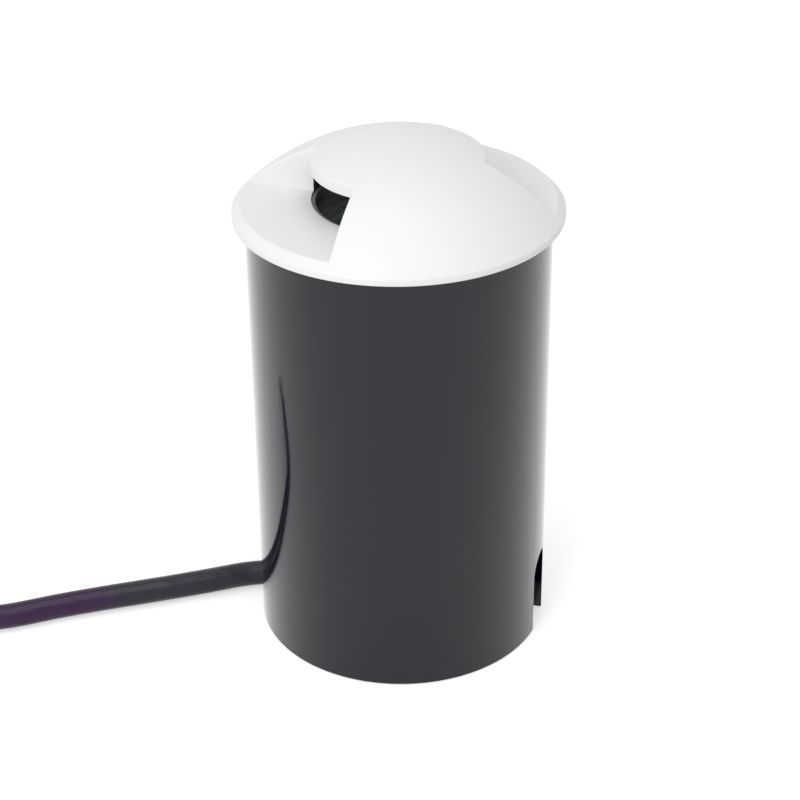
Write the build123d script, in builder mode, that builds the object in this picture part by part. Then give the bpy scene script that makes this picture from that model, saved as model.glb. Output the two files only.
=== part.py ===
from build123d import *
from math import asin, cos, degrees, pi, radians, sin, sqrt, tan
import os

# In-ground well light: a black ground sleeve with a white two-way dome cap that turns for aiming
# and lifts off. Millimetres. Origin at the centre of the sleeve's foot, +Z up, light out along +X and -X.

# ---------------------------------------------------------------- driving dimensions
sleeve_od = 88.9
sleeve_wall = 4.2
sleeve_height = 135.9
sleeve_seat_depth = 8.2            # counterbore in the mouth that takes the flange, the ring and the clip
sleeve_seat_wall = 2.1             # wall left round the counterbore
slot_width = 12.9                  # cable slots in the foot, two, opposite each other
slot_height = 25.7
slot_azimuth = 140.4               # of the slot that the cable leaves by, from +X
foot_chamfer = 0.2

fit_gap = 0.05                     # round pieces that stand fixed in each other
hair_gap = 0.03                    # between surfaces that only just clear each other
running_gap = 0.15                 # collar in the aiming ring, flanges in the sleeve
loose_gap = 0.3                    # round pieces that are dropped in
hole_spare = 0.4                   # depth of a screw hole beyond its screw
edge_round = 0.5
edge_break = 0.3
tolerance = 0.01                   # for choosing edges by their radius or height

cap_overhang = 3.5                 # rim beyond the sleeve
cap_rim_edge = 2.0                 # upright edge of the rim
cap_rise = 20.2                    # dome above the rim's upright edge
cap_shell = 3.0                    # dome, and walls round the pockets
cap_gap = 0.3                      # running gap between the sleeve's mouth and the rim
mouth_land = 9.6                   # cap's floor between the light hole and the collar's bore
window_floor = 4.4                 # top of the windows' floor above the rim's underside
floor_plate = 2.2                  # plate round the light hole
window_half_angle = 46.5           # between a window's axis and each of its side walls
window_inset = 4.3                 # each side wall's plane lies this far off the cap's axis
collar_wall = 2.45
collar_depth = 5.6                 # below the rim's underside
key_count = 3
key_width = 3.0
key_rise = 1.0
key_height = 2.2

aim_neck_wall = 2.5
aim_foot_height = 2.4
clip_thickness = 1.2
clip_width = 3.2
clip_opening = 14.0                # degrees, between the clip's two eyes
clip_groove = 0.95
clip_play = 0.1
clip_lift = 0.25                   # clip above the aiming ring's foot
seal_wire = 1.8                    # seal under the aiming ring
seal_squeeze = 0.3
seal_groove_play = 0.2
collar_seal_wire = 1.4

gasket_plate = 1.0
gasket_lip = 1.25
gasket_lip_drop = 0.4              # lip's top below the windows' floor
glass_land = 3.4                   # glass beyond the light hole
glass_thickness = 3.0
lens_ring_clear = 0.6              # ring's bore beyond the light hole
lens_ring_thickness = 2.2
lens_screw_edge = 3.1              # screws' axes inside the collar's bore
lens_screw_azimuth = 30.0
lens_boss_radius = 2.6
small_screw_radius = 1.2
small_head_radius = 2.4
small_head_height = 1.5
head_break = 0.4
hex_key_radius = 0.9
hex_key_share = 0.6                # of the head's height
screw_hole_play = 0.2

can_rib_gap = 1.25                 # between the canister's ribs and the sleeve's bore
can_wall = 2.2
can_floor = 3.0
can_flange = 2.5
can_depth = 54.7                   # from the flange's top face to the inside of the floor
fin_count = 12
fin_rise = 3.0
fin_root = 1.0                     # rib's foot inside the wall
fin_width = 2.0
carrier_lug_reach = 3.5
carrier_lug_width = 6.0

lamp_radius = 25.0
lamp_drop = 1.0                    # lamp's face below the canister's mouth
lamp_length = 38.0
lamp_rim_height = 3.2
lamp_neck_radius = 12.0
lamp_base_radius = 9.0
lamp_base_height = 6.0
lamp_shell = 3.2
lamp_fin_count = 18
lamp_fin_slot = 1.5
lamp_lens_thickness = 2.5
lamp_lens_recess = 0.5
lamp_well_wall = 0.4               # lamp's wall beside the light-emitting board, at its thinnest
lamp_rim_wall = 2.0
lamp_rim_step = 0.7                # rim beyond the finned bowl
lamp_bowl_depth = 10.0
lamp_neck_wall = 3.0
lamp_neck_straight = 3.0
lamp_fin_floor = 2.0               # solid metal under the cooling slots
lamp_board_thickness = 1.6
led_count = 4
led_circle = 9.0
led_side = 3.5
led_height = 0.8
optic_tip_radius = 2.6
optic_mouth_radius = 6.0
driver_board_thickness = 1.0
driver_board_seat = 2.0            # its slot in the lamp's base
driver_board_head_gap = 2.5
driver_parts = ((-3.2, 7.0, 2.4), (3.0, 9.5, 1.8))   # along the board, above its foot, radius
driver_part_rise = 3.0
pin_radius = 0.75
pin_pitch = 5.33
pin_length = 6.5
pin_seat = 2.8                     # pin's depth in the lamp's base
socket_radius = 9.5
socket_height = 9.0
contact_wall = 0.75
contact_end_wall = 1.0             # socket above and below the contacts
socket_head_depth = 3.0
socket_head_play = 0.1
socket_screw_end = 0.5             # screw's end below the bracket
bracket_sheet = 1.2
bracket_width = 12.0
bracket_inset = 6.6                # bracket's legs inside the canister's wall
bracket_foot = 4.8
bracket_screw_inset = 4.0
socket_screw_reach = 6.3
floor_screw_depth = 2.0
carrier_thickness = 2.2
carrier_grip = 0.4                 # how far the lamp's rim overlaps the carrier
carrier_lug_count = 3
block_length = 16.0
block_width = 14.0
block_height = 13.5
block_inset = 12.8                 # terminal block's middle inside the canister's wall
pole_pitch = 8.0
pole_height = 9.1                  # pole axis above the canister's floor
pole_radius = 2.15
pole_wall = 0.7
pole_recess = 0.5                  # tube's end inside the block
clamp_pitch_share = 0.56           # of the block's length, between a pole's two screws
clamp_screw_length = 2.5
clamp_screw_play = 0.15
clamp_slot_width = 0.5
clamp_slot_depth = 0.7
block_head_radius = 2.0

gland_offset = 17.0                # gland's axis from the sleeve's axis, away from the cable's slot
gland_thread = 8.0
gland_hex = 22.0                   # across flats
gland_hex_height = 4.6
gland_washer_thickness = 1.0
gland_locknut_height = 4.5
gland_nut_hex = 20.0
gland_nut_length = 11.4
gland_neck_radius = 7.4
gland_seal_wall = 2.0
gland_neck_length = 7.8
gland_thread_spare = 1.0
gland_seal_head = 1.0              # body above the seal
gland_nut_lift = 0.2               # nut below the body's hexagon
gland_nut_floor = 1.8
gland_cable_play = 0.3

cable_diameter = 7.8
core_diameter = 2.4
lead_diameter = 1.9
end_core_length = 26.0
end_strand_length = 7.0
end_strand_diameter = 1.5
sheath_inside = 2.5                # cable sheath above the gland's thread
core_side = 1.5                    # each core's axis from the cable's
wire_depth = 4.8                   # core or lead inside the terminal block
end_core_bend = 0.4                # of the bare cores' length, where they part
end_core_spread = 0.2
end_core_drop = 0.13
bend_reach = 5.9                   # the free cable's bends, from the sleeve's axis towards the slot
bend_height = 15.0
drop_share = 0.52                  # of the way down to that bend, straight down from the gland's nut
landing_reach = 13.4
slot_bend_depth = 0.6              # inside the sleeve's face

# ---------------------------------------------------------------- levels and radii that follow
os.makedirs("parts", exist_ok=True)
sleeve_radius = sleeve_od / 2
sleeve_bore = sleeve_radius - sleeve_wall
seat_radius = sleeve_radius - sleeve_seat_wall
seat_z = sleeve_height - sleeve_seat_depth
rim_z = sleeve_height + cap_gap
rim_radius = sleeve_radius + cap_overhang
dome_radius = (rim_radius**2 + cap_rise**2) / (2 * cap_rise)
dome_centre_z = rim_z + cap_rim_edge + cap_rise - dome_radius
floor_z = rim_z + window_floor
plate_z = floor_z - floor_plate
flange_top_z = seat_z + can_flange
aim_bottom_z = flange_top_z + seal_squeeze
aim_foot_top_z = aim_bottom_z + aim_foot_height
clip_z = aim_foot_top_z + clip_lift
aim_foot_radius = seat_radius - running_gap
clip_radius = seat_radius + clip_groove - clip_play
neck_radius = clip_radius - clip_width - loose_gap
aim_bore = neck_radius - aim_neck_wall
collar_radius = aim_bore - running_gap
collar_bore = collar_radius - collar_wall
collar_bottom_z = rim_z - collar_depth
mouth_radius = collar_bore - mouth_land    # light hole, and the lip of the roof over it
glass_radius = mouth_radius + glass_land
lens_ring_bore = mouth_radius + lens_ring_clear
lens_screw_circle = collar_bore - lens_screw_edge
glass_top_z = plate_z - gasket_plate
glass_bottom_z = glass_top_z - glass_thickness
lens_ring_z = glass_bottom_z - lens_ring_thickness
can_floor_top_z = flange_top_z - can_depth
can_bottom_z = can_floor_top_z - can_floor
can_radius = sleeve_bore - can_rib_gap - fin_rise
can_bore = can_radius - can_wall
bracket_half_span = can_bore - bracket_inset
bracket_screw_reach = can_bore - bracket_screw_inset
block_offset = can_bore - block_inset
lamp_top_z = flange_top_z - lamp_drop
lamp_bottom_z = lamp_top_z - lamp_length
socket_z = lamp_bottom_z - socket_height
bracket_z = socket_z - bracket_sheet
cable_radius = cable_diameter / 2


def dome_height(radius, sphere):
    """Height of a sphere round the dome's centre at a distance from the cap's axis."""
    return dome_centre_z + sqrt(sphere**2 - radius**2)


def level(height, azimuth=0.0):
    """A horizontal plane at a height, its x axis turned to an azimuth."""
    return Plane(
        origin=(0, 0, height),
        x_dir=(cos(radians(azimuth)), sin(radians(azimuth)), 0),
        z_dir=(0, 0, 1),
    )


def profile_plane(azimuth=0.0):
    """The upright half plane through the axis at an azimuth, x outward and y up."""
    out = (cos(radians(azimuth)), sin(radians(azimuth)), 0)
    return Plane(origin=(0, 0, 0), x_dir=out, z_dir=(out[1], -out[0], 0))


def finish(piece, label):
    piece.part.label = label
    export_step(piece.part, f"parts/{label}.step")


def ring(inner, outer, low, high):
    """Draws a ring's section in the profile plane: a rectangle between two radii and two heights."""
    with Locations(((inner + outer) / 2, (low + high) / 2)):
        Rectangle(outer - inner, high - low)


# ---------------------------------------------------------------- ground sleeve
# A plain tube that is sunk in the ground. Two slots, open at the foot, let the cable in and out.
with BuildPart() as sleeve:
    with BuildSketch(Plane.XZ):
        ring(sleeve_bore, sleeve_radius, 0, seat_z)
        ring(seat_radius, sleeve_radius, seat_z, sleeve_height)
        with Locations((seat_radius + clip_groove / 2, clip_z + clip_thickness / 2)):
            Rectangle(clip_groove, clip_thickness + clip_play, mode=Mode.SUBTRACT)
    revolve(axis=Axis.Z)
    chamfer(sleeve.edges().group_by(Axis.Z)[0], foot_chamfer)
    for azimuth in (slot_azimuth, slot_azimuth + 180):
        with BuildSketch(profile_plane(azimuth + 90)):
            with Locations((0, (slot_height - slot_width / 2) / 2)):
                Rectangle(slot_width, slot_height - slot_width / 2)
            with Locations((0, slot_height - slot_width / 2)):
                Circle(slot_width / 2)
        extrude(amount=sleeve_od, mode=Mode.SUBTRACT)
finish(sleeve, "sleeve")

# ---------------------------------------------------------------- two-way dome cap
# One casting: rim, floor plate with the light hole, two posts, roof, and a collar under the floor.
boss_azimuths = [lens_screw_azimuth, 180 - lens_screw_azimuth, 180 + lens_screw_azimuth, -lens_screw_azimuth]
lens_screw_places = [
    (lens_screw_circle * cos(radians(a)), lens_screw_circle * sin(radians(a))) for a in boss_azimuths
]
roof_radius = dome_radius - cap_shell
wall_reach = 2 * rim_radius
window_apex = window_inset / sin(radians(window_half_angle))
pocket_in = mouth_radius + cap_shell
pocket_mid = (pocket_in + collar_bore) / 2
post_half_angle = 90 - window_half_angle + degrees(asin(window_inset / pocket_mid))
pocket_half_angle = post_half_angle - degrees(cap_shell / pocket_mid)
collar_seal_z = (collar_bottom_z + rim_z - key_height) / 2
collar_seal_depth = collar_seal_wire - fit_gap
collar_seal_half = collar_seal_wire / 2 + running_gap
lens_hole_top_z = plate_z + floor_plate / 2
with BuildPart() as dome_cap:
    with BuildSketch(Plane.XZ):
        with BuildLine():
            apex = (0, dome_centre_z + dome_radius)
            shoulder = (rim_radius, rim_z + cap_rim_edge)
            crown = (0, dome_centre_z + roof_radius)
            roof_edge = (mouth_radius, dome_height(mouth_radius, roof_radius))
            ThreePointArc(apex, (rim_radius / 2, dome_height(rim_radius / 2, dome_radius)), shoulder)
            Polyline(
                shoulder,
                (rim_radius, rim_z),
                (collar_radius, rim_z),
                (collar_radius, collar_bottom_z),
                (collar_bore, collar_bottom_z),
                (collar_bore, plate_z),
                (mouth_radius, plate_z),
                roof_edge,
            )
            ThreePointArc(roof_edge, (mouth_radius / 2, dome_height(mouth_radius / 2, roof_radius)), crown)
            Line(crown, apex)
        make_face()
    revolve(axis=Axis.Z)
    for side in (1, -1):
        with BuildSketch(Plane.XY.offset(floor_z)):
            with BuildLine():
                across = wall_reach * sin(radians(window_half_angle))
                along = side * (window_apex + wall_reach * cos(radians(window_half_angle)))
                Polyline((side * window_apex, 0), (along, across), (along, -across), close=True)
            make_face()
            Circle(mouth_radius, mode=Mode.SUBTRACT)
        extrude(amount=cap_rise + cap_rim_edge, mode=Mode.SUBTRACT)
    on_dome = dome_cap.edges().filter_by(
        lambda e: abs((e @ 0.5 - Vector(0, 0, dome_centre_z)).length - dome_radius) < fit_gap
    )
    fillet(on_dome, edge_round)
    rim_rounds = dome_cap.edges().filter_by(GeomType.CIRCLE).filter_by(
        lambda e: abs(e.radius - rim_radius) < tolerance and abs(e.center().Z - rim_z) < tolerance
    )
    fillet(rim_rounds, edge_round)
    # pockets under the posts keep their walls even
    for azimuth in (90, 270):
        with BuildSketch(profile_plane(azimuth - pocket_half_angle)):
            with BuildLine():
                Polyline(
                    (pocket_in, plate_z),
                    (collar_bore, plate_z),
                    (collar_bore, dome_height(collar_bore, roof_radius)),
                    (pocket_in, dome_height(pocket_in, roof_radius)),
                    close=True,
                )
            make_face()
        revolve(axis=Axis.Z, revolution_arc=2 * pocket_half_angle, mode=Mode.SUBTRACT)
    with BuildSketch(Plane.XY.offset(glass_bottom_z)):
        with Locations(*lens_screw_places):
            Circle(lens_boss_radius)
    extrude(amount=plate_z - glass_bottom_z)
    with BuildSketch(Plane.XY.offset(glass_bottom_z)):
        with Locations(*lens_screw_places):
            Circle(small_screw_radius + fit_gap)
    extrude(amount=lens_hole_top_z - glass_bottom_z, mode=Mode.SUBTRACT)
    for key in range(key_count):
        with BuildSketch(level(rim_z - key_height, 90 + key * 360 / key_count)):
            with Locations((collar_radius, 0)):
                Rectangle(2 * key_rise, key_width)
        extrude(amount=key_height)
    with BuildSketch(Plane.XZ):
        ring(collar_radius - collar_seal_depth, collar_radius, collar_seal_z - collar_seal_half,
             collar_seal_z + collar_seal_half)
    revolve(axis=Axis.Z, mode=Mode.SUBTRACT)
finish(dome_cap, "dome_cap")

with BuildPart() as cap_o_ring:
    with BuildSketch(Plane.XZ):
        with Locations((aim_bore - hair_gap - collar_seal_wire / 2, collar_seal_z)):
            Circle(collar_seal_wire / 2)
    revolve(axis=Axis.Z)
finish(cap_o_ring, "cap_o_ring")

# ---------------------------------------------------------------- lens, its gasket and its ring
gasket_radius = mouth_radius - fit_gap
gasket_bore = gasket_radius - gasket_lip
with BuildPart() as lens_gasket:
    with BuildSketch(Plane.XZ):
        ring(gasket_bore, glass_radius, glass_top_z, plate_z)
        ring(gasket_bore, gasket_radius, plate_z, floor_z - gasket_lip_drop)
    revolve(axis=Axis.Z)
    fillet(lens_gasket.edges().group_by(Axis.Z)[-1], edge_break)
finish(lens_gasket, "lens_gasket")

with BuildPart() as lens_glass:
    with BuildSketch(Plane.XY.offset(glass_bottom_z)):
        Circle(glass_radius)
    extrude(amount=glass_thickness)
    chamfer(lens_glass.edges(), edge_break)
finish(lens_glass, "lens_glass")

with BuildPart() as lens_ring:
    with BuildSketch(Plane.XY.offset(lens_ring_z)):
        Circle(collar_bore - loose_gap)
        Circle(lens_ring_bore, mode=Mode.SUBTRACT)
        with Locations(*lens_screw_places):
            Circle(small_screw_radius + screw_hole_play, mode=Mode.SUBTRACT)
    extrude(amount=lens_ring_thickness)
    chamfer(lens_ring.edges().filter_by(GeomType.CIRCLE).filter_by(
        lambda e: abs(e.radius - lens_ring_bore) < tolerance), edge_round)
finish(lens_ring, "lens_ring")


def screws(places, plane, head_side, shank, head_height=small_head_height, head_radius=small_head_radius):
    """Pan-head screws on a plane: heads stand on the head_side of it, shanks reach the other way."""
    with BuildPart() as piece:
        with BuildSketch(plane):
            with Locations(*places):
                Circle(head_radius)
        extrude(amount=head_side * head_height)
        chamfer(piece.faces().sort_by(Axis.Z)[-1 if head_side > 0 else 0].edges(), head_break)
        with BuildSketch(plane.offset(head_side * head_height)):
            with Locations(*places):
                RegularPolygon(hex_key_radius, 6)
        extrude(amount=-head_side * head_height * hex_key_share, mode=Mode.SUBTRACT)
        with BuildSketch(plane):
            with Locations(*places):
                Circle(small_screw_radius)
        extrude(amount=-head_side * shank)
    return piece


lens_screws = screws(lens_screw_places, level(lens_ring_z), -1, lens_hole_top_z - lens_ring_z - hole_spare)
finish(lens_screws, "lens_screws")

# ---------------------------------------------------------------- aiming ring, its seal and its clip
# The ring turns in the sleeve's mouth on a rubber seal, and the cap's keys turn it.
aim_seal_radius = (aim_bore + aim_foot_radius) / 2
seal_groove_depth = seal_wire - seal_squeeze + fit_gap
with BuildPart() as aim_ring:
    with BuildSketch(Plane.XZ):
        ring(aim_bore, aim_foot_radius, aim_bottom_z, aim_foot_top_z)
        ring(aim_bore, neck_radius, aim_foot_top_z, rim_z)
        with Locations((aim_seal_radius, aim_bottom_z)):
            Rectangle(seal_wire + seal_groove_play, 2 * seal_groove_depth, mode=Mode.SUBTRACT)
    revolve(axis=Axis.Z)
    for key in range(key_count):
        with BuildSketch(level(rim_z - key_height - running_gap, 90 + key * 360 / key_count)):
            with Locations((aim_bore, 0)):
                Rectangle(2 * key_rise, key_width + 2 * running_gap)
        extrude(amount=2 * key_height, mode=Mode.SUBTRACT)
finish(aim_ring, "aim_ring")

with BuildPart() as aim_o_ring:
    with BuildSketch(Plane.XZ):
        with Locations((aim_seal_radius, flange_top_z + hair_gap + seal_wire / 2)):
            Circle(seal_wire / 2)
    revolve(axis=Axis.Z)
finish(aim_o_ring, "aim_o_ring")

with BuildPart() as retaining_clip:
    with BuildSketch(profile_plane(clip_opening / 2)):
        ring(clip_radius - clip_width, clip_radius, clip_z, clip_z + clip_thickness)
    revolve(axis=Axis.Z, revolution_arc=360 - clip_opening)
    eye_angle = clip_opening / 2 + degrees(clip_width / 2 / clip_radius)
    for azimuth in (eye_angle, -eye_angle):
        with BuildSketch(level(clip_z, azimuth)):
            with Locations((clip_radius - clip_width / 2, 0)):
                Circle(clip_width / 4)
        extrude(amount=clip_thickness, mode=Mode.SUBTRACT)
finish(retaining_clip, "retaining_clip")

# ---------------------------------------------------------------- lamp canister
# A die-cast cup that hangs by its flange on the sleeve's ledge, with cooling ribs outside.
# s is the direction of the cable's slot, t lies across it; inner pieces are placed by (s, t).
carrier_z = lamp_top_z - lamp_rim_height - carrier_thickness
gland_hole = gland_thread + 2 * fit_gap
with BuildPart() as canister:
    with BuildSketch(Plane.XZ):
        ring(can_bore, can_radius, can_bottom_z, flange_top_z)
        ring(0, can_radius, can_bottom_z, can_floor_top_z)
        ring(can_bore, aim_foot_radius, seat_z, flange_top_z)
    revolve(axis=Axis.Z)
    fillet(canister.edges().group_by(Axis.Z)[0], can_wall)
    rib_low_z = can_bottom_z + 2 * can_wall
    for rib in range(fin_count):
        with BuildSketch(level(rib_low_z, slot_azimuth + (rib + 0.5) * 360 / fin_count)):
            with Locations((can_radius + (fin_rise - fin_root) / 2, 0)):
                Rectangle(fin_rise + fin_root, fin_width)
        extrude(amount=seat_z - rib_low_z)
    lug_z = carrier_z - carrier_thickness
    for lug in range(carrier_lug_count):
        with BuildSketch(level(lug_z, slot_azimuth + 90 + lug * 360 / carrier_lug_count)):
            with Locations((can_bore + (fit_gap - carrier_lug_reach) / 2, 0)):
                Rectangle(carrier_lug_reach + fit_gap, carrier_lug_width)
        extrude(amount=carrier_thickness)
    with BuildSketch(level(can_bottom_z, slot_azimuth)):
        with Locations((-gland_offset, 0)):
            Circle(gland_hole)
    extrude(amount=can_floor, mode=Mode.SUBTRACT)
    floor_screw_places = [(0, bracket_screw_reach), (0, -bracket_screw_reach), (block_offset, 0)]
    with BuildSketch(level(can_floor_top_z - floor_screw_depth - hole_spare, slot_azimuth)):
        with Locations(*floor_screw_places):
            Circle(small_screw_radius + fit_gap)
    extrude(amount=can_floor, mode=Mode.SUBTRACT)
finish(canister, "canister")

# ---------------------------------------------------------------- lamp
lamp_body_z = lamp_bottom_z + lamp_base_height
lamp_web_z = lamp_top_z - lamp_bowl_depth
lamp_lens_z = lamp_top_z - lamp_lens_recess - lamp_lens_thickness
lamp_front = lamp_radius - lamp_rim_wall
driver_bore = lamp_neck_radius - lamp_neck_wall
lamp_neck_top_z = lamp_body_z + lamp_neck_straight
lamp_skirt = lamp_radius - lamp_rim_step
lamp_flare = (lamp_skirt - lamp_neck_radius) / (carrier_z - lamp_neck_top_z)
lamp_well = lamp_neck_radius + lamp_flare * (lamp_web_z - lamp_neck_top_z) - lamp_well_wall
with BuildPart() as lamp_body:
    with BuildSketch(Plane.XZ):
        with BuildLine():
            Polyline(
                (driver_bore, lamp_body_z),
                (lamp_neck_radius, lamp_body_z),
                (lamp_neck_radius, lamp_neck_top_z),
                (lamp_skirt, carrier_z),
                (lamp_skirt, lamp_top_z - lamp_rim_height),
                (lamp_radius, lamp_top_z - lamp_rim_height),
                (lamp_radius, lamp_top_z),
                (lamp_front, lamp_top_z),
                (lamp_front, lamp_lens_z),
                (lamp_well, lamp_lens_z),
                (lamp_well, lamp_web_z),
                (0, lamp_web_z),
                (0, lamp_web_z - lamp_shell),
                (driver_bore, lamp_web_z - lamp_shell),
                close=True,
            )
        make_face()
    revolve(axis=Axis.Z)
    fin_low_z = lamp_body_z + lamp_fin_floor
    fin_top_z = lamp_web_z - lamp_shell - lamp_fin_floor / 2
    for slot in range(lamp_fin_count):
        with BuildSketch(level(fin_low_z, slot * 360 / lamp_fin_count)):
            with Locations((driver_bore + lamp_fin_floor + lamp_radius / 2, 0)):
                Rectangle(lamp_radius, lamp_fin_slot)
        extrude(amount=fin_top_z - fin_low_z, mode=Mode.SUBTRACT)
finish(lamp_body, "lamp_body")

with BuildPart() as lamp_led_board:
    with BuildSketch(Plane.XY.offset(lamp_web_z)):
        Circle(lamp_well - edge_round)
    extrude(amount=lamp_board_thickness)
finish(lamp_led_board, "lamp_led_board")

led_z = lamp_web_z + lamp_board_thickness
with BuildPart() as lamp_leds:
    with BuildSketch(Plane.XY.offset(led_z)):
        with PolarLocations(led_circle, led_count):
            Rectangle(led_side, led_side)
    extrude(amount=led_height)
finish(lamp_leds, "lamp_leds")

with BuildPart() as lamp_lens:
    with BuildSketch(Plane.XY.offset(lamp_lens_z)):
        Circle(lamp_front - fit_gap)
    extrude(amount=lamp_lens_thickness)
    optic_height = lamp_lens_z - led_z - led_height - hair_gap
    with Locations((0, 0, lamp_lens_z - optic_height / 2)):
        with PolarLocations(led_circle, led_count):
            Cone(optic_tip_radius, optic_mouth_radius, optic_height)
finish(lamp_lens, "lamp_lens")

pin_top_z = lamp_bottom_z + pin_seat
pin_places = [(pin_pitch / 2, 0), (-pin_pitch / 2, 0)]
board_width = 2 * driver_bore - 2 * edge_round - lamp_neck_wall
board_foot_z = lamp_neck_top_z - driver_board_seat
board_height = lamp_web_z - lamp_shell - driver_board_head_gap - lamp_body_z
with BuildPart() as lamp_base:
    with BuildSketch(Plane.XZ):
        with BuildLine():
            Polyline(
                (0, lamp_bottom_z),
                (lamp_base_radius, lamp_bottom_z),
                (lamp_neck_radius, lamp_body_z),
                (driver_bore - fit_gap, lamp_body_z),
                (driver_bore - fit_gap, lamp_neck_top_z),
                (0, lamp_neck_top_z),
                close=True,
            )
        make_face()
    revolve(axis=Axis.Z)
    with BuildSketch(level(board_foot_z, slot_azimuth)):
        Rectangle(board_width + 2 * fit_gap, driver_board_thickness + 2 * fit_gap)
    extrude(amount=driver_board_seat, mode=Mode.SUBTRACT)
    with BuildSketch(level(lamp_bottom_z, slot_azimuth)):
        with Locations(*pin_places):
            Circle(pin_radius)
    extrude(amount=pin_top_z - lamp_bottom_z, mode=Mode.SUBTRACT)
finish(lamp_base, "lamp_base")

with BuildPart() as lamp_pins:
    with BuildSketch(level(pin_top_z, slot_azimuth)):
        with Locations(*pin_places):
            Circle(pin_radius)
    extrude(amount=-(pin_top_z - lamp_bottom_z + pin_length))
finish(lamp_pins, "lamp_pins")

with BuildPart() as lamp_driver_board:
    with BuildSketch(level(board_foot_z, slot_azimuth)):
        Rectangle(board_width, driver_board_thickness)
    extrude(amount=board_height)
    for along, high, size in driver_parts:
        with BuildSketch(profile_plane(slot_azimuth).offset(driver_board_thickness / 2)):
            with Locations((along, board_foot_z + high)):
                Circle(size)
        extrude(amount=driver_part_rise)
finish(lamp_driver_board, "lamp_driver_board")

with BuildPart() as lamp_carrier:
    with BuildSketch(Plane.XY.offset(carrier_z)):
        Circle(can_bore - loose_gap)
        Circle(lamp_radius - carrier_grip, mode=Mode.SUBTRACT)
    extrude(amount=carrier_thickness)
finish(lamp_carrier, "lamp_carrier")

# ---------------------------------------------------------------- lamp socket and its bracket
pole_z = can_floor_top_z + pole_height
contact_radius = pin_radius + hair_gap + contact_wall
contact_low_z = socket_z + contact_end_wall
contact_top_z = lamp_bottom_z - contact_end_wall
socket_screw_places = [(0, socket_screw_reach), (0, -socket_screw_reach)]
lead_radius = lead_diameter / 2
socket_head_z = lamp_bottom_z - socket_head_depth
with BuildPart() as lamp_socket:
    with BuildSketch(level(socket_z, slot_azimuth)):
        Circle(socket_radius)
        with Locations(*socket_screw_places):
            Circle(small_screw_radius + fit_gap, mode=Mode.SUBTRACT)
    extrude(amount=socket_height)
    with BuildSketch(level(socket_head_z, slot_azimuth)):
        with Locations(*socket_screw_places):
            Circle(small_head_radius + socket_head_play)
    extrude(amount=socket_height, mode=Mode.SUBTRACT)
    with BuildSketch(level(contact_low_z, slot_azimuth)):
        with Locations(*pin_places):
            Circle(contact_radius + fit_gap)
    extrude(amount=contact_top_z - contact_low_z, mode=Mode.SUBTRACT)
    with BuildSketch(level(contact_top_z, slot_azimuth)):
        with Locations(*pin_places):
            Circle(pin_radius + screw_hole_play)
    extrude(amount=socket_height, mode=Mode.SUBTRACT)
    with BuildSketch(profile_plane(slot_azimuth)):
        with Locations(*[(s, pole_z) for s, _ in pin_places]):
            Circle(lead_radius + fit_gap)
    extrude(amount=2 * socket_radius, mode=Mode.SUBTRACT)
finish(lamp_socket, "lamp_socket")

with BuildPart() as socket_contacts:
    with BuildSketch(level(contact_low_z, slot_azimuth)):
        with Locations(*pin_places):
            Circle(contact_radius)
            Circle(pin_radius + hair_gap, mode=Mode.SUBTRACT)
    extrude(amount=contact_top_z - contact_low_z)
finish(socket_contacts, "socket_contacts")

with BuildPart() as socket_bracket:
    with BuildSketch(profile_plane(slot_azimuth + 90)):
        with Locations((0, bracket_z + bracket_sheet / 2)):
            Rectangle(2 * bracket_half_span, bracket_sheet)
        for side in (1, -1):
            leg = side * (bracket_half_span - bracket_sheet / 2)
            foot = side * (bracket_half_span + bracket_foot / 2)
            with Locations((leg, (socket_z + can_floor_top_z) / 2)):
                Rectangle(bracket_sheet, socket_z - can_floor_top_z)
            with Locations((foot, can_floor_top_z + bracket_sheet / 2)):
                Rectangle(bracket_foot + bracket_sheet, bracket_sheet)
    extrude(amount=bracket_width / 2, both=True)
    with BuildSketch(level(can_floor_top_z, slot_azimuth)):
        with Locations(*socket_screw_places, *floor_screw_places[:2]):
            Circle(small_screw_radius + fit_gap)
    extrude(amount=socket_height + bracket_foot, mode=Mode.SUBTRACT)
finish(socket_bracket, "socket_bracket")

bracket_screws = screws(floor_screw_places[:2], level(can_floor_top_z + bracket_sheet, slot_azimuth), 1,
                        bracket_sheet + floor_screw_depth)
finish(bracket_screws, "bracket_screws")
socket_screws = screws(socket_screw_places, level(socket_head_z, slot_azimuth), 1,
                       socket_head_z - bracket_z + socket_screw_end)
finish(socket_screws, "socket_screws")

# ---------------------------------------------------------------- terminal block
block_top_z = can_floor_top_z + block_height
pole_places = [(block_offset - pole_pitch / 2, pole_z), (block_offset + pole_pitch / 2, pole_z)]
clamp_places = [(s, side * block_length * clamp_pitch_share / 2) for s, _ in pole_places for side in (1, -1)]
clamp_z = pole_z + core_diameter / 2 + 2 * fit_gap
block_head_z = block_top_z - small_head_height - loose_gap
with BuildPart() as terminal_block:
    with BuildSketch(level(can_floor_top_z, slot_azimuth)):
        with Locations((block_offset, 0)):
            Rectangle(block_width, block_length)
            Circle(small_screw_radius + fit_gap, mode=Mode.SUBTRACT)
    extrude(amount=block_height)
    with BuildSketch(profile_plane(slot_azimuth)):
        with Locations(*pole_places):
            Circle(pole_radius + fit_gap)
    extrude(amount=block_length, both=True, mode=Mode.SUBTRACT)
    with BuildSketch(level(pole_z, slot_azimuth)):
        with Locations(*clamp_places):
            Circle(small_screw_radius + clamp_screw_play)
    extrude(amount=block_height, mode=Mode.SUBTRACT)
    with BuildSketch(level(block_head_z, slot_azimuth)):
        with Locations((block_offset, 0)):
            Circle(block_head_radius + socket_head_play)
    extrude(amount=block_height, mode=Mode.SUBTRACT)
finish(terminal_block, "terminal_block")

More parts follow.
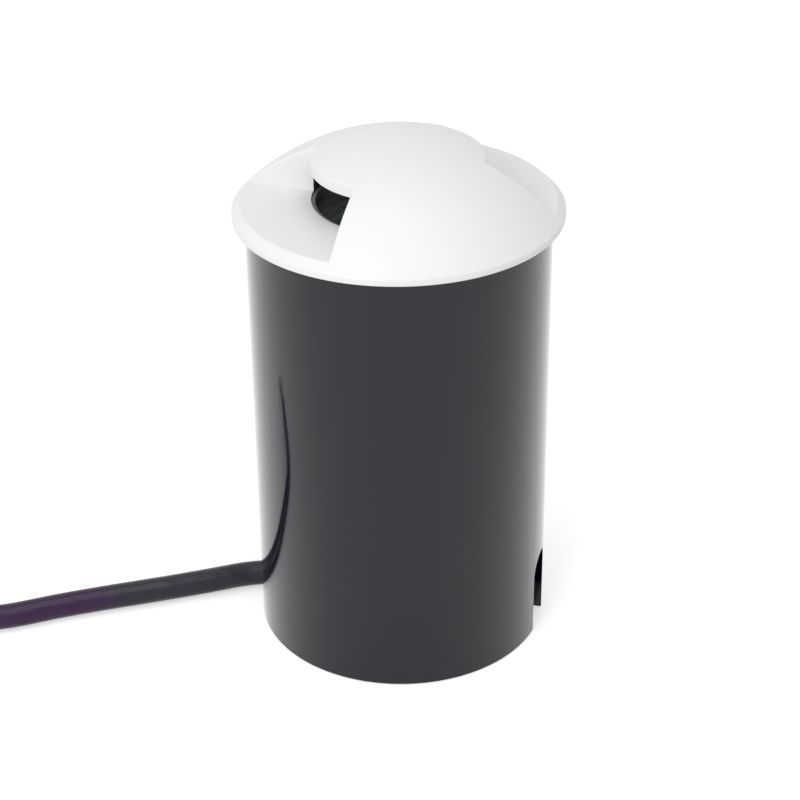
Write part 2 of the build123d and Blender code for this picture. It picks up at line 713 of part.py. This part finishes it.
with BuildPart() as terminal_tubes:
    with BuildSketch(profile_plane(slot_azimuth)):
        with Locations(*pole_places):
            Circle(pole_radius)
            Circle(pole_radius - pole_wall, mode=Mode.SUBTRACT)
    extrude(amount=block_length / 2 - pole_recess, both=True)
    with BuildSketch(level(pole_z, slot_azimuth)):
        with Locations(*clamp_places):
            Circle(small_screw_radius + fit_gap)
    extrude(amount=block_height, mode=Mode.SUBTRACT)
finish(terminal_tubes, "terminal_tubes")

with BuildPart() as terminal_screws:
    with BuildSketch(level(clamp_z, slot_azimuth)):
        with Locations(*clamp_places):
            Circle(small_screw_radius)
    extrude(amount=clamp_screw_length)
    with BuildSketch(level(clamp_z + clamp_screw_length, slot_azimuth)):
        with Locations(*clamp_places):
            Rectangle(clamp_slot_width, 2 * small_screw_radius)
    extrude(amount=-clamp_slot_depth, mode=Mode.SUBTRACT)
finish(terminal_screws, "terminal_screws")

block_screw = screws(floor_screw_places[2:], level(block_head_z, slot_azimuth), 1,
                     block_head_z - can_floor_top_z + floor_screw_depth, head_radius=block_head_radius)
finish(block_screw, "block_screw")

# ---------------------------------------------------------------- cable gland
gland_hex_top_z = can_bottom_z - gland_washer_thickness
gland_hex_z = gland_hex_top_z - gland_hex_height
gland_neck_z = gland_hex_z - gland_neck_length
gland_thread_top_z = can_floor_top_z + gland_locknut_height + gland_thread_spare
seal_radius = cable_radius + fit_gap + gland_seal_wall
seal_top_z = gland_hex_z - gland_seal_head
gland_nut_top_z = gland_hex_z - gland_nut_lift
gland_nut_z = gland_nut_top_z - gland_nut_length
nut_floor_z = gland_nut_z + gland_nut_floor
gland_place = (-gland_offset, 0)
with BuildPart() as gland_washer:
    with BuildSketch(level(gland_hex_top_z, slot_azimuth)):
        with Locations(gland_place):
            Circle(gland_hex / 2)
            Circle(gland_hole, mode=Mode.SUBTRACT)
    extrude(amount=gland_washer_thickness)
finish(gland_washer, "gland_washer")

with BuildPart() as gland_body:
    with BuildSketch(level(gland_hex_z, slot_azimuth)):
        with Locations(gland_place):
            RegularPolygon(gland_hex / 2, 6, major_radius=False)
    extrude(amount=gland_hex_height)
    with BuildSketch(level(gland_hex_top_z, slot_azimuth)):
        with Locations(gland_place):
            Circle(gland_thread)
    extrude(amount=gland_thread_top_z - gland_hex_top_z)
    with BuildSketch(level(gland_neck_z, slot_azimuth)):
        with Locations(gland_place):
            Circle(gland_neck_radius)
    extrude(amount=gland_neck_length)
    with BuildSketch(level(gland_neck_z, slot_azimuth)):
        with Locations(gland_place):
            Circle(seal_radius + fit_gap)
    extrude(amount=seal_top_z - gland_neck_z, mode=Mode.SUBTRACT)
    with BuildSketch(level(gland_neck_z, slot_azimuth)):
        with Locations(gland_place):
            Circle(cable_radius + gland_cable_play)
    extrude(amount=gland_thread_top_z - gland_neck_z, mode=Mode.SUBTRACT)
finish(gland_body, "gland_body")

with BuildPart() as gland_locknut:
    with BuildSketch(level(can_floor_top_z, slot_azimuth)):
        with Locations(gland_place):
            RegularPolygon(gland_hex / 2, 6, major_radius=False)
            Circle(gland_thread + fit_gap, mode=Mode.SUBTRACT)
    extrude(amount=gland_locknut_height)
finish(gland_locknut, "gland_locknut")

with BuildPart() as gland_seal:
    with BuildSketch(level(nut_floor_z, slot_azimuth)):
        with Locations(gland_place):
            Circle(seal_radius)
            Circle(cable_radius + fit_gap, mode=Mode.SUBTRACT)
    extrude(amount=seal_top_z - nut_floor_z)
finish(gland_seal, "gland_seal")

with BuildPart() as gland_nut:
    with BuildSketch(level(nut_floor_z, slot_azimuth)):
        with Locations(gland_place):
            RegularPolygon(gland_nut_hex / 2, 6, major_radius=False)
    extrude(amount=gland_nut_top_z - nut_floor_z)
    with BuildSketch(level(nut_floor_z, slot_azimuth)):
        with Locations(gland_place):
            Circle(gland_nut_hex / 2)
    with BuildSketch(level(gland_nut_z, slot_azimuth)):
        with Locations(gland_place):
            Circle(gland_neck_radius)
    loft()
    with BuildSketch(level(nut_floor_z, slot_azimuth)):
        with Locations(gland_place):
            Circle(gland_neck_radius + fit_gap)
    extrude(amount=gland_nut_length, mode=Mode.SUBTRACT)
    with BuildSketch(level(gland_nut_z, slot_azimuth)):
        with Locations(gland_place):
            Circle(cable_radius + gland_cable_play)
    extrude(amount=gland_nut_length, mode=Mode.SUBTRACT)
finish(gland_nut, "gland_nut")

# ---------------------------------------------------------------- cable and leads
# A cord is straight runs joined by arcs as large as the two runs at each corner allow.
arc_share = 0.45


def corner_radii(points):
    """Radius of each corner's arc, from the shorter of its two runs and its turn."""
    radii = []
    for before, corner, after in zip(points, points[1:], points[2:]):
        run_in = Vector(*corner) - Vector(*before)
        run_out = Vector(*after) - Vector(*corner)
        turn = radians(run_in.get_angle(run_out))
        radii.append(arc_share * min(run_in.length, run_out.length) / tan(turn / 2))
    return radii


def inner_place(s, t, z):
    """A point given along and across the cable slot's direction, in the part's own axes."""
    out = radians(slot_azimuth)
    return (s * cos(out) - t * sin(out), s * sin(out) + t * cos(out), z)


def tube_along(path, radius):
    """Sweeps a round section along a path that starts at the path's first point."""
    with BuildSketch(Plane(origin=path @ 0, z_dir=path % 0)) as section:
        Circle(radius)
    sweep(sections=section.sketch, path=path)


def report(label, piece, length, radius):
    """Prints how a tube's volume compares with its section times its length."""
    ratio = piece.part.volume / (pi * radius**2 * length)
    print(f"{label}: length {length:.1f}, volume over section times length {ratio:.4f}")


def cord(label, routes, diameter):
    """One cord, or several alike, each along its own points."""
    with BuildPart() as piece:
        length = 0
        for points in routes:
            radii = corner_radii(points)
            with BuildLine() as line:
                if radii:
                    FilletPolyline(*points, radius=radii)
                else:
                    Line(*points)
            tube_along(line.wires()[0], diameter / 2)
            length += line.wires()[0].length
            print(f"{label}: radii {[round(r, 1) for r in radii]}")
    report(label, piece, length, diameter / 2)
    finish(piece, label)


# the sheathed cable through the gland, held all the way
sheath_top_z = gland_thread_top_z + sheath_inside
inner_ends = [inner_place(-gland_offset, 0, sheath_top_z), inner_place(-gland_offset, 0, gland_nut_z)]
cord("cable_inner", [inner_ends], cable_diameter)

# its two cores, from the cut sheath to the terminal block's poles
near_pole, far_pole = (s for s, _ in pole_places)
wire_end = block_length / 2 - wire_depth
core_routes = [
    [(-gland_offset, core_side, sheath_top_z), (-gland_offset, core_side, can_floor_top_z + 21.5),
     (-11.0, can_bore - 15.8, can_floor_top_z + 17.5), (4.0, can_bore - 10.8, can_floor_top_z + 12.0),
     (near_pole, 19.0, pole_z), (near_pole, wire_end, pole_z)],
    [(-gland_offset, -core_side, sheath_top_z), (-gland_offset, -core_side, can_floor_top_z + 25.5),
     (-15.0, can_bore - 11.8, can_floor_top_z + 23.5), (5.0, can_bore - 4.3, can_floor_top_z + 17.5),
     (far_pole, 19.5, pole_z), (far_pole, wire_end, pole_z)],
]
cord("supply_cores", [[inner_place(*p) for p in route] for route in core_routes], core_diameter)

# leads from the socket's contacts to the block's other mouths
lead_start = -(contact_radius + fit_gap)
lead_routes = [
    [(pin_pitch / 2, lead_start, pole_z), (pin_pitch / 2, 13.6 - can_bore, pole_z),
     (near_pole, 13.4 - can_bore, pole_z), (near_pole, -wire_end, pole_z)],
    [(-pin_pitch / 2, lead_start, pole_z), (-pin_pitch / 2, 7.1 - can_bore, pole_z),
     (far_pole, 6.9 - can_bore, pole_z), (far_pole, -wire_end, pole_z)],
]
cord("socket_leads", [[inner_place(*p) for p in route] for route in lead_routes], lead_diameter)

# the free cable: down inside the sleeve, out through the slot and away over the ground; its points
# are given from the slot's mouth
slot_mouth = Vector(*inner_place(sleeve_radius - slot_bend_depth, 0, cable_radius))
over_ground = [
    (-28.8, 3.3), (-57.6, 7.5), (-87.1, 11.4), (-106.3, 21.0), (-117.2, 33.0), (-125.1, 43.9),
]
ground_route = [
    inner_place(-gland_offset, 0, gland_nut_z),
    inner_place(-gland_offset, 0, gland_nut_z - drop_share * (gland_nut_z - bend_height)),
    inner_place(-bend_reach, 0, bend_height),
    inner_place(landing_reach, 0, cable_radius),
    tuple(slot_mouth),
]
ground_route += [tuple(slot_mouth + Vector(x, y, 0)) for x, y in over_ground]
cord("supply_cable", [ground_route], cable_diameter)

# the cut end: two cores part and lie beside each other, with bare copper at their tips
cable_end = Vector(*ground_route[-1])
cable_end_way = (cable_end - Vector(*ground_route[-2])).normalized()
sideways = Vector(-cable_end_way.Y, cable_end_way.X, 0)
end_routes = []
strand_routes = []
for side in (1, -1):
    first = cable_end + sideways * (side * core_side)
    bend = first + cable_end_way * (end_core_length * end_core_bend)
    tip_way = cable_end_way + sideways * (side * end_core_spread) - Vector(0, 0, end_core_drop)
    tip = bend + tip_way * (end_core_length * (1 - end_core_bend))
    strand_tip = tip + (tip - bend).normalized() * end_strand_length
    end_routes.append([tuple(first), tuple(bend), tuple(tip)])
    strand_routes.append([tuple(tip), tuple(strand_tip)])
cord("cable_end_cores", end_routes, core_diameter)
cord("cable_end_strands", strand_routes, end_strand_diameter)

inner_length = sheath_top_z - gland_nut_z
print(f"inner stretch {inner_length:.1f}")
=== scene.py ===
import bpy
from math import radians
from mathutils import Matrix, Vector


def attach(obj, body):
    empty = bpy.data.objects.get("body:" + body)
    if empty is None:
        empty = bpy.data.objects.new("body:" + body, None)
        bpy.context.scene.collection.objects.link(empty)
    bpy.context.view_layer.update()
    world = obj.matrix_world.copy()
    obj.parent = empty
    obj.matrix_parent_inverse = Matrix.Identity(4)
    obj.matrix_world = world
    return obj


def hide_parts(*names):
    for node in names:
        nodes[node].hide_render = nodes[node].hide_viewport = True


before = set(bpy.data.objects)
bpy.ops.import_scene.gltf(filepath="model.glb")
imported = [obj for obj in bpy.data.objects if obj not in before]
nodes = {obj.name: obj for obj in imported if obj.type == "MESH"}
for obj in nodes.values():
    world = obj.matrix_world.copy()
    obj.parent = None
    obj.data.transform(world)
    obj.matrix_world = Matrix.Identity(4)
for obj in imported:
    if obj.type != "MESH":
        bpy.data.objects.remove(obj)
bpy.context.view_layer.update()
print("frame loaded,", len(nodes), "nodes")


# camera: the photograph's angle, 800 x 800
cameraView = {
    "place": (-0.2153, -0.4769, 0.3791),
    "heading": -24.28,  # degrees, about z
    "down": 30.285,
    "roll": -0.563,
    "lens": 90.11,
    "sensor": 36.0,
    "nearest": 0.01,
}


def placeCamera(view):
    data = bpy.data.cameras.new("camera")
    data.lens = view["lens"]
    data.sensor_width = view["sensor"]
    data.clip_start = view["nearest"]
    camera = bpy.data.objects.new("camera", data)
    bpy.context.scene.collection.objects.link(camera)
    turn = Matrix.Rotation(radians(view["heading"]), 4, "Z")
    tilt = Matrix.Rotation(radians(90 - view["down"]), 4, "X")
    roll = Matrix.Rotation(radians(view["roll"]), 4, "Z")
    camera.matrix_world = Matrix.Translation(view["place"]) @ turn @ tilt @ roll
    bpy.context.scene.camera = camera


placeCamera(cameraView)
bpy.context.scene.view_settings.view_transform = "Standard"
print("camera placed")


# node helpers: each value they are given is another node's socket or plain numbers
def feed(tree, target, value):
    if isinstance(value, bpy.types.NodeSocket):
        tree.links.new(value, target)
    else:
        target.default_value = value


def calculate(tree, operation, *values):
    node = tree.nodes.new("ShaderNodeMath")
    node.operation = operation
    for target, value in zip(node.inputs, values):
        feed(tree, target, value)
    return node.outputs[0]


def spread(tree, value, low, high, start=0.3, end=0.7):  # by default over the middle of a noise
    span = tree.nodes.new("ShaderNodeMapRange")
    span.inputs["From Min"].default_value = start
    span.inputs["From Max"].default_value = end
    span.inputs["To Min"].default_value = low
    span.inputs["To Max"].default_value = high
    tree.links.new(value, span.inputs["Value"])
    return span.outputs["Result"]


def mixColour(tree, factor, first, second):
    mix = tree.nodes.new("ShaderNodeMix")
    mix.data_type = "RGBA"
    tree.links.new(factor, mix.inputs["Factor"])
    for socket, colour in (("A", first), ("B", second)):
        target = [s for s in mix.inputs if s.name == socket and s.type == "RGBA"][0]
        feed(tree, target, colour if isinstance(colour, bpy.types.NodeSocket) else (*colour, 1))
    return [s for s in mix.outputs if s.type == "RGBA"][0]


def objectNoise(tree, scale, detail=4.0):
    place = tree.nodes.new("ShaderNodeTexCoord")
    noise = tree.nodes.new("ShaderNodeTexNoise")
    noise.inputs["Scale"].default_value = scale
    noise.inputs["Detail"].default_value = detail
    tree.links.new(place.outputs["Object"], noise.inputs["Vector"])
    return noise.outputs["Fac"]


def addBump(tree, shader, height, depth):  # on top of the bump that is there
    bump = tree.nodes.new("ShaderNodeBump")
    bump.inputs["Distance"].default_value = depth
    bump.inputs["Strength"].default_value = 1.0
    tree.links.new(height, bump.inputs["Height"])
    if shader.inputs["Normal"].is_linked:
        tree.links.new(shader.inputs["Normal"].links[0].from_socket, bump.inputs["Normal"])
    tree.links.new(bump.outputs["Normal"], shader.inputs["Normal"])


acrossAxis = (1, 1, 0)  # leaves the distance from the upright axis


def distance(tree, vector, operation="MULTIPLY"):  # of a point, scaled by the vector or measured from it
    place = tree.nodes.new("ShaderNodeTexCoord")
    step = tree.nodes.new("ShaderNodeVectorMath")
    step.operation = operation
    step.inputs[1].default_value = vector
    tree.links.new(place.outputs["Object"], step.inputs[0])
    length = tree.nodes.new("ShaderNodeVectorMath")
    length.operation = "LENGTH"
    tree.links.new(step.outputs["Vector"], length.inputs[0])
    return length.outputs["Value"]


# materials: noise scales are per metre, the grain's relief is in metres
surface = {
    "plastic": {"metallic": 0.0, "patches": 60.0, "wear": 180.0, "grain": 900.0, "relief": 0.00002},
    "metal": {"metallic": 1.0, "patches": 80.0, "wear": 400.0, "grain": 400.0, "relief": 0.00004},
}


def newMaterial(name):
    material = bpy.data.materials.new(name)
    material.use_nodes = True
    tree = material.node_tree
    return material, tree, tree.nodes["Principled BSDF"]


def solid(name, kind, dark, light, rough, **other):
    s = {**surface[kind], **other}
    material, tree, shader = newMaterial(name)
    shader.inputs["Metallic"].default_value = s["metallic"]
    patches = objectNoise(tree, s["patches"])
    tree.links.new(mixColour(tree, patches, dark, light), shader.inputs["Base Color"])
    wear = objectNoise(tree, s["wear"])
    tree.links.new(spread(tree, wear, *rough), shader.inputs["Roughness"])
    addBump(tree, shader, objectNoise(tree, s["grain"]), s["relief"])
    return material


def dress(material, *names):
    for name in names:
        slots = nodes[name].data.materials
        slots.clear()
        slots.append(material)


# sleeve: moulded black with a thin glossy skin
sleeve = {
    "black": ((0.0010, 0.0006, 0.0060), (0.0018, 0.0012, 0.0090)),
    "rough": (0.06, 0.11),
    "ior": 1.32,  # of the body and of its skin
    "skin": 1.0,
    "skinRough": 0.04,
}


def sleeveMaterial(name, s):
    material = solid(name, "plastic", *s["black"], s["rough"])
    shader = material.node_tree.nodes["Principled BSDF"]
    shader.inputs["IOR"].default_value = s["ior"]
    shader.inputs["Coat Weight"].default_value = s["skin"]
    shader.inputs["Coat IOR"].default_value = s["ior"]
    shader.inputs["Coat Roughness"].default_value = s["skinRough"]
    return material


dress(sleeveMaterial("sleeveBlack", sleeve), "sleeve")
print("sleeve dressed")


# cap: white, with painted shade, a dull dark colour, round and over the light hole
cap = {
    "white": ((0.80, 0.80, 0.815), (0.84, 0.84, 0.855)),
    "rough": (0.34, 0.46),
    "grain": 1500.0,
    # painted shade: dark colour for the cap's inside, under the roof and round the bore
    "paintedShade": ((0.018, 0.026, 0.026), (0.030, 0.040, 0.040)),
    "paintedShadePatches": 60.0,
    "paintedShadeRadius": 0.02515,
    "boreRadius": 0.02475,  # painted shade at any height
    "domeCentre": (0, 0, 0.09135),
    "underRoof": 0.0648,  # from the dome's centre, the roof's lower face and all within it
    "post": 0.0200,  # half the width of the posts' bore, between the windows
    "windowFloor": 0.1404,  # height
}


def capMaterial(name, c):
    material = solid(name, "plastic", *c["white"], c["rough"], grain=c["grain"])
    tree = material.node_tree
    shader = tree.nodes["Principled BSDF"]
    white = shader.inputs["Base Color"].links[0].from_socket
    fromAxis = distance(tree, acrossAxis)
    fromCentre = distance(tree, c["domeCentre"], "SUBTRACT")
    # painted shade: where the cap's inside lies under the roof and round the bore, its white is replaced
    # by a dark colour
    inside = calculate(tree, "MINIMUM", calculate(tree, "LESS_THAN", fromAxis, c["paintedShadeRadius"]),
                       calculate(tree, "LESS_THAN", fromCentre, c["underRoof"]))
    atPost = calculate(tree, "LESS_THAN", distance(tree, (1, 0, 0)), c["post"])
    low = calculate(tree, "LESS_THAN", distance(tree, (0, 0, 1)), c["windowFloor"])
    inBore = calculate(tree, "LESS_THAN", fromAxis, c["boreRadius"])
    walls = calculate(tree, "MAXIMUM", calculate(tree, "MAXIMUM", atPost, low), inBore)
    paintedShadeMask = calculate(tree, "MINIMUM", inside, walls)
    dark = mixColour(tree, objectNoise(tree, c["paintedShadePatches"]), *c["paintedShade"])
    tree.links.new(mixColour(tree, paintedShadeMask, white, dark), shader.inputs["Base Color"])
    return material


dress(capMaterial("capWhite", cap), "dome_cap")
print("cap dressed")


# inner pieces: each finish with its darker and lighter colour and the pieces that have it
finishes = {
    "castMetal": {
        "kind": "metal", "colours": ((0.30, 0.30, 0.31), (0.42, 0.42, 0.43)), "rough": (0.4, 0.6),
        "pieces": ["canister", "lamp_body"],
    },
    "steel": {
        "kind": "metal", "colours": ((0.50, 0.50, 0.51), (0.62, 0.62, 0.63)), "rough": (0.22, 0.38),
        "pieces": ["lens_ring", "retaining_clip", "lens_screws", "bracket_screws", "socket_screws",
                   "block_screw", "terminal_screws", "socket_bracket", "lamp_pins"],
    },
    "brass": {
        "kind": "metal", "colours": ((0.55, 0.38, 0.14), (0.65, 0.46, 0.20)), "rough": (0.25, 0.4),
        "pieces": ["socket_contacts", "terminal_tubes"],
    },
    "copper": {
        "kind": "metal", "colours": ((0.62, 0.28, 0.16), (0.75, 0.36, 0.22)), "rough": (0.25, 0.4),
        "pieces": ["cable_end_strands"],
    },
    "nylonBlack": {
        "kind": "plastic", "colours": ((0.010, 0.010, 0.011), (0.016, 0.016, 0.017)), "rough": (0.35, 0.5),
        "pieces": ["aim_ring", "gland_body", "gland_locknut", "gland_nut"],
    },
    "rubberBlack": {
        "kind": "plastic", "colours": ((0.012, 0.012, 0.012), (0.02, 0.02, 0.02)), "rough": (0.5, 0.7),
        "pieces": ["aim_o_ring", "cap_o_ring", "gland_washer", "gland_seal"],
    },
    "rubberGrey": {
        "kind": "plastic", "colours": ((0.16, 0.17, 0.18), (0.22, 0.23, 0.24)), "rough": (0.45, 0.6),
        "pieces": ["lens_gasket"],
    },
    "plasticGrey": {
        "kind": "plastic", "colours": ((0.05, 0.05, 0.055), (0.07, 0.07, 0.075)), "rough": (0.4, 0.55),
        "pieces": ["lamp_carrier"],
    },
    "plasticWhite": {
        "kind": "plastic", "colours": ((0.62, 0.61, 0.58), (0.70, 0.69, 0.66)), "rough": (0.35, 0.5),
        "pieces": ["lamp_base", "terminal_block", "lamp_socket"],
    },
    "boardWhite": {
        "kind": "plastic", "colours": ((0.60, 0.61, 0.60), (0.68, 0.69, 0.68)), "rough": (0.3, 0.45),
        "pieces": ["lamp_led_board"],
    },
    "boardGreen": {
        "kind": "plastic", "colours": ((0.012, 0.06, 0.025), (0.02, 0.09, 0.035)), "rough": (0.25, 0.4),
        "pieces": ["lamp_driver_board"],
    },
    "ledYellow": {
        "kind": "plastic", "colours": ((0.70, 0.52, 0.10), (0.80, 0.62, 0.16)), "rough": (0.2, 0.3),
        "pieces": ["lamp_leds"],
    },
    "coreSleeve": {
        "kind": "plastic", "colours": ((0.015, 0.015, 0.02), (0.02, 0.02, 0.028)), "rough": (0.35, 0.45),
        "pieces": ["supply_cores", "cable_end_cores", "cable_inner"],
    },
    "leadWhite": {
        "kind": "plastic", "colours": ((0.55, 0.55, 0.53), (0.62, 0.62, 0.60)), "rough": (0.4, 0.5),
        "pieces": ["socket_leads"],
    },
}

for name, finish in finishes.items():
    dress(solid(name, finish["kind"], *finish["colours"], finish["rough"]), *finish["pieces"])
print("inner pieces dressed")


# lenses: the cap's own is slightly hazed, which greys the light hole
lenses = {
    "lensHazed": {"tint": (0.86, 0.94, 0.92), "through": 0.925, "pieces": ["lens_glass"]},
    "lensClear": {"tint": (0.90, 0.94, 0.95), "through": 1.0, "pieces": ["lamp_lens"]},
}
lensSurface = {"ior": 1.5, "rough": (0.0, 0.02), "wear": 150.0}


def clear(name, tint, through, s):
    material, tree, shader = newMaterial(name)
    shader.inputs["Transmission Weight"].default_value = through
    shader.inputs["Base Color"].default_value = (*tint, 1)
    shader.inputs["IOR"].default_value = s["ior"]
    wear = objectNoise(tree, s["wear"])
    tree.links.new(spread(tree, wear, *s["rough"]), shader.inputs["Roughness"])
    return material


for name, lens in lenses.items():
    dress(clear(name, lens["tint"], lens["through"], lensSurface), *lens["pieces"])
print("lenses dressed")


# cable: one line from the gland, down inside the sleeve, out by the slot and away over the ground
cable = {
    "diameter": 0.0078,
    "length": 0.2325,
    "facets": 8,  # along each stretch, and round each quarter
    "route": [
        (0.01310, -0.01084, 0.0553),
        (0.01310, -0.01084, 0.0343),
        (0.00455, -0.00376, 0.0150),
        (-0.01032, 0.00854, 0.0039),
        (-0.03379, 0.02795, 0.0039),
        (-0.06000, 0.03067, 0.0039),
        (-0.10000, 0.03754, 0.0039),
        (-0.12200, 0.03894, 0.0039),
        (-0.13800, 0.04700, 0.0039),
        (-0.15099, 0.06095, 0.0039),
        (-0.15889, 0.07185, 0.0039),
    ],
}
sheath = {
    "slate": ((0.008, 0.010, 0.017), (0.018, 0.021, 0.036)),
    "plum": ((0.018, 0.0005, 0.027), (0.034, 0.002, 0.048)),
    "change": (-0.094, -0.080),  # along x, from plum to slate
    "patches": 90.0,
    "rough": (0.20, 0.30),
    "wear": 240.0,
    "gloss": 0.36,
    "dents": {"scale": 110.0, "detail": 1.0, "depth": 0.0006},
    "grain": {"scale": 900.0, "detail": 4.0, "depth": 0.00003},
}


def cordLine(name, c, material):
    curve = bpy.data.curves.new(name, "CURVE")
    curve.dimensions = "3D"
    curve.bevel_depth = c["diameter"] / 2
    curve.bevel_resolution = c["facets"]
    curve.resolution_u = c["facets"]
    curve.use_fill_caps = True
    spline = curve.splines.new("NURBS")
    spline.points.add(len(c["route"]) - 1)
    for point, place in zip(spline.points, c["route"]):
        point.co = (*place, 1)
    spline.order_u = 3
    spline.use_endpoint_u = True
    curve.materials.append(material)
    line = bpy.data.objects.new(name, curve)
    bpy.context.scene.collection.objects.link(line)
    return line


def sheathMaterial(name, s):
    material, tree, shader = newMaterial(name)
    patches = objectNoise(tree, s["patches"])
    place = tree.nodes.new("ShaderNodeTexCoord")
    axes = tree.nodes.new("ShaderNodeSeparateXYZ")
    tree.links.new(place.outputs["Object"], axes.inputs[0])
    along = spread(tree, axes.outputs["X"], 0.0, 1.0, *s["change"])
    plum = mixColour(tree, patches, *s["plum"])
    slate = mixColour(tree, patches, *s["slate"])
    tree.links.new(mixColour(tree, along, plum, slate), shader.inputs["Base Color"])
    wear = objectNoise(tree, s["wear"])
    tree.links.new(spread(tree, wear, *s["rough"]), shader.inputs["Roughness"])
    shader.inputs["Specular IOR Level"].default_value = s["gloss"]
    for relief in (s["dents"], s["grain"]):
        addBump(tree, shader, objectNoise(tree, relief["scale"], relief["detail"]), relief["depth"])
    return material


cableLine = cordLine("cable_line", cable, sheathMaterial("sheathDark", sheath))
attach(cableLine, "base")
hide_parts("supply_cable")
print("cable laid")


# floor and light: a white surround with soft lamps
studio = {
    "floorSize": 6.0,
    "floorHeight": -0.0002,
    "floorWhite": 0.90,
    "floorRough": 0.9,
    "floorLift": 0.32,  # white added for the camera's, glossy and transmitted rays
    "floorView": (0.12, 0.22),  # and this much more for the camera's alone, near and far
    "farFloor": (0.9, 2.0),  # metres from the light, where near ends and far starts
    "shade": 0.0415,  # no white is added within this radius, under the sleeve
    "fill": 0.545,  # the world as the object's surfaces see it
    "aim": (0, 0, 0.08),
    "lamps": [
        {"place": (-0.15, -0.20, 1.35), "size": 1.3, "watts": 5.9},
        {"place": (-1.28, -0.98, 0.80), "size": 0.8, "watts": 11.0},
    ],
}


def seenWhite(tree, path):  # one for the rays that see the surround, none for those that light the object
    seen = calculate(tree, "MAXIMUM", path["Is Camera Ray"], path["Is Glossy Ray"])
    return calculate(tree, "MAXIMUM", seen, path["Is Transmission Ray"])


def layFloor(s):
    bpy.ops.object.select_all(action="DESELECT")
    bpy.ops.mesh.primitive_plane_add(size=s["floorSize"], location=(0, 0, s["floorHeight"]))
    floor = bpy.context.object
    floor.name = "studio_floor"
    material, tree, shader = newMaterial("floorWhite")
    shader.inputs["Base Color"].default_value = (s["floorWhite"],) * 3 + (1,)
    shader.inputs["Roughness"].default_value = s["floorRough"]
    shader.inputs["Specular IOR Level"].default_value = 0.0
    path = tree.nodes.new("ShaderNodeLightPath").outputs
    fromLight = distance(tree, acrossAxis)
    lift = calculate(tree, "MULTIPLY", seenWhite(tree, path), s["floorLift"])
    view = spread(tree, fromLight, *s["floorView"], *s["farFloor"])
    total = calculate(tree, "MULTIPLY_ADD", path["Is Camera Ray"], view, lift)
    outside = calculate(tree, "GREATER_THAN", fromLight, s["shade"])
    glow = tree.nodes.new("ShaderNodeEmission")
    glow.inputs["Color"].default_value = (1, 1, 1, 1)
    tree.links.new(calculate(tree, "MULTIPLY", total, outside), glow.inputs["Strength"])
    lit = tree.nodes.new("ShaderNodeAddShader")
    tree.links.new(shader.outputs["BSDF"], lit.inputs[0])
    tree.links.new(glow.outputs["Emission"], lit.inputs[1])
    tree.links.new(lit.outputs["Shader"], tree.nodes["Material Output"].inputs["Surface"])
    floor.data.materials.append(material)


def lightWorld(s):
    world = bpy.data.worlds.new("surround")
    world.use_nodes = True
    bpy.context.scene.world = world
    tree = world.node_tree
    background = tree.nodes["Background"]
    background.inputs["Color"].default_value = (1, 1, 1, 1)
    path = tree.nodes.new("ShaderNodeLightPath").outputs
    level = spread(tree, seenWhite(tree, path), s["fill"], 1.0, 0.0, 1.0)
    tree.links.new(level, background.inputs["Strength"])


def hangLamps(s):
    for k, lamp in enumerate(s["lamps"]):
        data = bpy.data.lights.new(f"softLamp{k}", "AREA")
        data.size = lamp["size"]
        data.energy = lamp["watts"]
        light = bpy.data.objects.new(f"softLamp{k}", data)
        light.location = lamp["place"]
        aim = Vector(s["aim"]) - Vector(lamp["place"])
        light.rotation_euler = aim.to_track_quat("-Z", "Y").to_euler()
        bpy.context.scene.collection.objects.link(light)


layFloor(studio)
lightWorld(studio)
hangLamps(studio)
print("studio lit")
